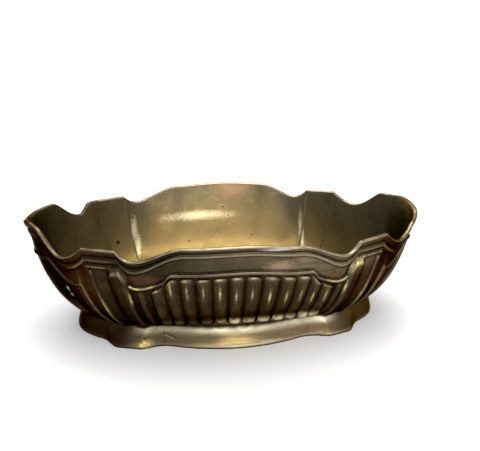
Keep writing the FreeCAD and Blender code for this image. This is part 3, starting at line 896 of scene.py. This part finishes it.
# Inside: a copper blush on the back's crest, and painted reflections down the back corners and a painted
# highlight band across the back.
BLUSH = [((0.018, 0.0915, 0.086), (0.020, 0.02, 0.010), rgb(0.52, 0.30, 0.17), 0.45)]
PAINTED_REFLECTIONS = [((-0.0785, 0.0700, 0.055), (0.0030, 0.02, 0.012), REFLECTION_CREAM, 0.7),
         ((-0.0755, 0.0660, 0.041), (0.0030, 0.02, 0.010), REFLECTION_CREAM, 0.7),
         ((0.0800, 0.0690, 0.045), (0.0022, 0.02, 0.020), REFLECTION_CREAM, 0.7),
         ((-0.018, 0.087, 0.062), (0.034, 0.02, 0.0045), REFLECTION_CREAM, 0.7)]
INSIDE_PITS = [(-0.0929, 0.0615, 0.0455, 0.0022), (-0.0276, 0.0749, 0.0402, 0.0009),
               (0.0330, 0.0758, 0.0431, 0.0009), (0.0069, 0.0879, 0.0688, 0.0008)]
# The foot: a copper stain at the right, and yellow painted highlights at the left notch and the middle.
FOOT_STAINS_AND_HIGHLIGHTS = [((0.055, -0.062, 0.006), (0.024, 0.02, 0.008), rgb(0.27, 0.17, 0.11), 0.7),
               ((-0.0697, -0.0586, 0.003), (0.006, 0.02, 0.004), rgb(0.80, 0.62, 0.22), 0.5),
               ((-0.002, -0.067, 0.005), (0.016, 0.02, 0.004), rgb(0.80, 0.60, 0.22), 0.3)]
FOOT_PITS = [(-0.0745, -0.0560, 0.0085, 0.0010), (-0.0700, -0.0570, 0.0070, 0.0010),
             (0.0105, -0.0655, 0.0080, 0.0008), (0.028, -0.0640, 0.0060, 0.0007)]

# Tarnish from black to brown, the colour of the lightened crests (rubbed metal and painted highlight), and the
# gold of painted highlights and the pale of a painted reflection.
BLACK, HOLLOW_BLACK = rgb(0.014, 0.008, 0.0035), rgb(0.010, 0.006, 0.0025)
SPECK_BLACK = rgb(0.02, 0.014, 0.008)
FIELD_LEFT, FIELD_RIGHT = rgb(0.026, 0.016, 0.006), rgb(0.052, 0.036, 0.017)
FIELD_STREAK = rgb(0.105, 0.072, 0.034)
FRIEZE_LEFT, FRIEZE_RIGHT = rgb(0.026, 0.019, 0.009), rgb(0.180, 0.142, 0.088)
FRIEZE_SCRATCH = rgb(0.050, 0.038, 0.020)
END_LEFT, END_RIGHT = rgb(0.040, 0.021, 0.011), rgb(0.066, 0.045, 0.027)
CREST, HIGHLIGHT_GOLD, REFLECTION_PALE = rgb(0.46, 0.385, 0.26), rgb(1.0, 0.78, 0.38), rgb(0.62, 0.52, 0.36)
INSIDE_HIGH, INSIDE_LOW = rgb(0.165, 0.135, 0.077), rgb(0.285, 0.190, 0.064)
INSIDE_MOTTLE = rgb(0.16, 0.125, 0.065)
DULL_LEFT, DULL_RIGHT = rgb(0.080, 0.054, 0.019), rgb(0.045, 0.032, 0.011)
DULL_TIP = rgb(0.014, 0.010, 0.003)


def outside_colour(g, place, axes, out_to_end, cloud, blotch):
    """Nearly black tarnish, paler to the right, with crests lightened partly as rubbed metal and partly as
    painted highlight, and painted highlights and reflections.
    """
    crest, recess, depth, painted_highlight = [g.attribute(key) for key in ("crest", "recess", "depth", "painted_highlight")]
    field = g.blend(g.remap(axes["X"], -0.065, 0.0), FIELD_LEFT, FIELD_RIGHT)
    frieze = g.blend(g.remap(axes["X"], -0.055, 0.030), FRIEZE_LEFT, FRIEZE_RIGHT)
    streaky = g.noise(along(g, place, (190.0, 190.0, 45.0)), 1.0, 5.0, 0.7, 0.4)
    field = g.blend(g.remap(streaky, 0.44, 0.66, 0.0, 0.7), field, FIELD_STREAK)
    scratched = g.noise(along(g, place, (30.0, 30.0, 1100.0)), 1.0, 3.0, 0.6)
    frieze = g.blend(g.remap(scratched, 0.42, 0.62, 0.0, 0.5), frieze, FRIEZE_SCRATCH)
    outer = g.blend(g.remap(depth, 0.30, 0.40), frieze, field)
    end_tone = g.blend(g.remap(axes["X"], -0.05, 0.05), END_LEFT, END_RIGHT)
    outer = g.blend(g.remap(out_to_end, 0.075, 0.110), outer, end_tone)
    outer = g.blend(g.product(cloud, 0.5), outer, BLACK)
    outer = stains_and_painted_light(g, place, outer, WALL_STAINS_AND_GLINTS)
    # crests lightened, partly as rubbed metal and partly as painted highlight, more to the right
    highlight_and_rubbing = g.product(g.remap(crest, 0.3, 1.0), g.remap(blotch, 0.3, 0.6, 0.35, 1.0),
                       g.remap(out_to_end, 0.08, 0.13, 0.75, 0.4), g.remap(depth, 0.20, 0.30, 1.0, 0.12),
                       g.remap(axes["X"], -0.07, 0.02, 0.75, 1.3))
    outer = g.blend(highlight_and_rubbing, outer, CREST)
    outer = g.blend(g.product(g.remap(recess, 0.35, 1.2), 0.75), outer, HOLLOW_BLACK)
    # painted highlights in gold, and a pale painted reflection low on the reeds
    painted_glints = g.product(painted_highlight, g.remap(g.noise(place, 300.0, 3.0, 0.6), 0.35, 0.6, 0.45, 1.15))
    return g.blend(painted_glints, outer, g.blend(g.remap(depth, 0.78, 0.88), HIGHLIGHT_GOLD, REFLECTION_PALE))


def inside_colour(g, place, axes, out_to_end):
    """Olive at the rim to gold at the floor, dull towards the ends. Returns the pits' depth too."""
    inner = g.blend(g.remap(g.attribute("depth"), 0.1, 0.75), INSIDE_HIGH, INSIDE_LOW)
    mottled = g.remap(g.noise(along(g, place, (60.0, 60.0, 95.0)), 1.0, 6.0, 0.65, 0.5), 0.45, 0.7)
    inner = g.blend(g.product(mottled, 0.35), inner, INSIDE_MOTTLE)
    dull = g.blend(g.remap(axes["X"], -0.05, 0.05), DULL_LEFT, DULL_RIGHT)
    inner = g.blend(g.remap(out_to_end, 0.035, 0.110, 0.0, 0.85), inner, dull)
    inner = g.blend(g.remap(out_to_end, 0.125, 0.155, 0.0, 0.8), inner, DULL_TIP)
    inner = stains_and_painted_light(g, place, inner, BLUSH)
    upper_right = g.product(g.remap(axes["X"], 0.0, 0.08), g.remap(axes["Z"], 0.05, 0.085), 0.5)
    inner = g.blend(upper_right, inner, rgb(0.10, 0.085, 0.05))
    # painted reflections down the back corners and a painted highlight band across the back
    inner = stains_and_painted_light(g, place, inner, PAINTED_REFLECTIONS)
    return pits(g, place, inner, INSIDE_PITS)


def wall_metal():
    """Old brass: nearly black tarnish outside with crests lightened as rubbed metal and painted highlight, and
    painted highlights and reflections, olive to gold inside.
    """
    g = Graph("wall_brass")
    place = g.add("TexCoord").outputs["Object"]
    axes = g.add("SeparateXYZ", {0: place}).outputs
    out_to_end = g.math("ABSOLUTE", axes["X"])
    inside = g.attribute("inside")
    cloud, blotch = tarnish_clouds(g, place)
    inner, sunk = inside_colour(g, place, axes, out_to_end)
    base = g.blend(inside, outside_colour(g, place, axes, out_to_end, cloud, blotch), inner)
    speck = g.remap(g.noise(place, 900.0, 2.0, 0.5), 0.68, 0.74)
    base = g.blend(g.product(speck, 0.45), base, SPECK_BLACK)
    brushed = g.noise(along(g, place, (14.0, 14.0, 900.0)), 1.0, 4.0, 0.6)
    rough = g.math("ADD", g.remap(blotch, 0.3, 0.7, 0.2, 0.34), g.math("MULTIPLY", inside, 0.05))
    rough = g.math("ADD", rough, g.math("MULTIPLY", g.math("SUBTRACT", brushed, 0.5), 0.12), True)
    height = g.math("ADD", hammered(g, place), g.math("MULTIPLY", brushed, 0.10))
    height = g.math("SUBTRACT", height, g.math("MULTIPLY", sunk, 2.0))
    edge_tint = g.blend(inside, rgb(0.28, 0.20, 0.13), rgb(0.7, 0.6, 0.4))
    return g.shade(base, rough, height, edge_tint)


def foot_metal():
    """Foot brass: pale along the rails with painted highlights, dark round the corners and ends, with painted
    shade to the left and a painted contact shadow along the bottom edge.
    """
    g = Graph("foot_brass")
    place = g.add("TexCoord").outputs["Object"]
    axes = g.add("SeparateXYZ", {0: place}).outputs
    crest, recess, inside, sweep = [g.attribute(key) for key in ("crest", "recess", "inside", "sweep")]
    cloud, blotch = tarnish_clouds(g, place)
    base = g.blend(cloud, rgb(0.205, 0.160, 0.085), rgb(0.125, 0.092, 0.045))
    # painted shade: darker towards the left
    base = g.blend(g.remap(axes["X"], 0.0, -0.06, 0.0, 0.75), base, rgb(0.09, 0.070, 0.034))
    base = stains_and_painted_light(g, place, base, FOOT_STAINS_AND_HIGHLIGHTS)
    dark = g.blend(g.remap(axes["X"], -0.03, 0.06), rgb(0.016, 0.008, 0.0035), rgb(0.075, 0.052, 0.024))
    base = g.blend(g.product(sweep, 0.95), base, dark)
    # painted highlights on the rails, weaker to the left and round the corners
    highlight_and_rubbing = g.product(crest, g.remap(blotch, 0.35, 0.6, 0.5, 0.95),
                       g.remap(axes["X"], -0.05, 0.0, 0.35, 1.0), g.remap(sweep, 0.0, 1.0, 1.0, 0.3))
    base = g.blend(highlight_and_rubbing, base, rgb(0.80, 0.72, 0.52))
    base = g.blend(g.product(recess, 0.9), base, SPECK_BLACK)
    # painted contact shadow along the bottom edge
    base = g.blend(g.remap(axes["Z"], 0.0011, 0.0004), base, rgb(0.012, 0.008, 0.004))
    base = g.blend(inside, base, rgb(0.07, 0.05, 0.03))
    base, sunk = pits(g, place, base, FOOT_PITS)
    speck = g.remap(g.noise(place, 700.0, 2.0, 0.5), 0.66, 0.73)
    base = g.blend(g.product(speck, 0.5), base, rgb(0.05, 0.035, 0.02))
    streaks = g.noise(along(g, place, (25.0, 25.0, 500.0)), 1.0, 4.0, 0.6)
    rough = g.math("ADD", g.remap(blotch, 0.3, 0.7, 0.22, 0.40), g.math("MULTIPLY", streaks, 0.06))
    height = g.math("SUBTRACT", g.math("ADD", hammered(g, place), g.math("MULTIPLY", streaks, 0.12)),
                    g.math("MULTIPLY", sunk, 2.0))
    return g.shade(base, rough, height, rgb(0.4, 0.32, 0.2))


def dull_metal(name, bright, dark, far, rough):
    """Dull brass for the floor plate and the brazed seams; far is its colour towards the ends."""
    g = Graph(name)
    place = g.add("TexCoord").outputs["Object"]
    out_to_end = g.math("ABSOLUTE", g.add("SeparateXYZ", {0: place}).outputs["X"])
    cloud, blotch = tarnish_clouds(g, place)
    base = g.blend(g.product(cloud, 0.6), bright, dark)
    base = g.blend(g.remap(out_to_end, 0.084, 0.096, 0.0, 0.85), base, far)
    base = g.blend(g.product(g.attribute("recess"), 0.8), base, rgb(0.012, 0.008, 0.004))
    base = g.blend(g.product(g.attribute("crest"), 0.4), base, rgb(0.45, 0.36, 0.18))
    return g.shade(base, g.remap(blotch, 0.3, 0.7, rough, rough + 0.15), hammered(g, place, 0.2),
                   rgb(0.9, 0.85, 0.75))


# ---- stage, light and camera --------------------------------------------------------
CAMERA_AZIMUTH = -8.39
CAMERA_ELEVATION = 16.83
CAMERA_ROLL = -0.10
CAMERA_DISTANCE = 0.5173
CAMERA_PAN = (0.01044, 0.07305)
FOCAL_LENGTH_MM = 45.0

# Area lights: name, place, target, size, power and colour.
LIGHTS = [("key", (0.1, -0.95, 1.05), (0, 0, 0), (2.4, 0.22), 9.0, (1.0, 0.98, 0.94)),
          ("top", (0.1, 0.0, 1.3), (0, 0, 0), (0.8, 0.5), 5.0, (1, 1, 1)),
          ("window", (0.16, -1.25, 0.48), (0, 0, 0.05), (0.5, 0.10), 1.6, (1.0, 0.93, 0.8)),
          ("backdrop", (0.0, 1.0, 2.2), (0, 1.6, 0.6), (2.0, 0.6), 30.0, (1, 1, 1))]


def make_camera():
    a, e, roll = [math.radians(v) for v in (CAMERA_AZIMUTH, CAMERA_ELEVATION, CAMERA_ROLL)]
    back = np.array([math.sin(a) * math.cos(e), -math.cos(a) * math.cos(e), math.sin(e)])
    right = np.array([math.cos(a), math.sin(a), 0.0])
    up = np.cross(back, right)
    place = back * CAMERA_DISTANCE + right * CAMERA_PAN[0] + up * CAMERA_PAN[1]
    side = math.cos(roll) * right + math.sin(roll) * up
    top = -math.sin(roll) * right + math.cos(roll) * up
    camera = bpy.data.objects.new("camera", bpy.data.cameras.new("camera"))
    camera.data.lens = FOCAL_LENGTH_MM
    camera.data.sensor_width = 36.0
    matrix = np.eye(4)
    matrix[:3, 0], matrix[:3, 1], matrix[:3, 2], matrix[:3, 3] = side, top, back, place
    camera.matrix_world = Matrix(matrix.tolist())
    bpy.context.scene.collection.objects.link(camera)
    bpy.context.scene.camera = camera


def area_light(name, place, target, size, power, colour):
    light = bpy.data.lights.new(name, "AREA")
    light.shape = "RECTANGLE"
    light.size, light.size_y = size
    light.energy = power
    light.color = colour
    lamp = bpy.data.objects.new(name, light)
    lamp.location = place
    lamp.rotation_euler = (Vector(target) - Vector(place)).to_track_quat("-Z", "Y").to_euler()
    bpy.context.scene.collection.objects.link(lamp)


def make_stage():
    """Pale floor that curves up into a backdrop."""
    turn = np.linspace(0, math.pi / 2, 16)
    path = [(-3.0, 0.0)] + [(1.2 + 0.8 * math.sin(a), 0.8 - 0.8 * math.cos(a)) for a in turn] + [(2.0, 3.0)]
    points = np.array([(x, y, z) for y, z in path for x in (-4.0, 4.0)]) / MM
    count = len(path)
    faces = np.array([(2 * i, 2 * i + 1, 2 * i + 3, 2 * i + 2) for i in range(count - 1)])
    floor = mesh_from("stage_floor", points, [faces], {})
    g = Graph("stage")
    shader = g.add("BsdfPrincipled", {"Base Color": (0.9, 0.9, 0.9, 1), "Roughness": 0.9})
    g.add("OutputMaterial", {"Surface": shader.outputs[0]})
    floor.data.materials.append(g.material)


def make_light():
    world = bpy.data.worlds.new("world")
    bpy.context.scene.world = world
    world.use_nodes = True
    background = world.node_tree.nodes["Background"].inputs
    background["Color"].default_value = (0.97, 0.98, 1.0, 1)
    background["Strength"].default_value = 0.8
    for light in LIGHTS:
        area_light(*light)


# ---- assembly -----------------------------------------------------------------------
make_camera()
make_stage()
make_light()

wall_brass = wall_metal()
foot_brass = foot_metal()
floor_brass = dull_metal("floor_brass", rgb(0.27, 0.205, 0.10), rgb(0.15, 0.11, 0.055),
                         rgb(0.16, 0.12, 0.06), 0.32)
braze = dull_metal("braze", rgb(0.16, 0.125, 0.062), rgb(0.09, 0.068, 0.033),
                   rgb(0.06, 0.044, 0.019), 0.45)

for slot, material, pieces in (
        ("wall_brass", wall_brass, wall_pieces()),
        ("foot_brass", foot_brass, foot_pieces()),
        ("floor_brass", floor_brass, {"floor_plate": floor_piece()}),
        ("braze", braze, seam_pieces())):
    for node, piece in pieces.items():
        piece.data.materials.append(material)
        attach(piece, "root")
        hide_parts(node)

bpy.context.scene.view_settings.view_transform = "Standard"
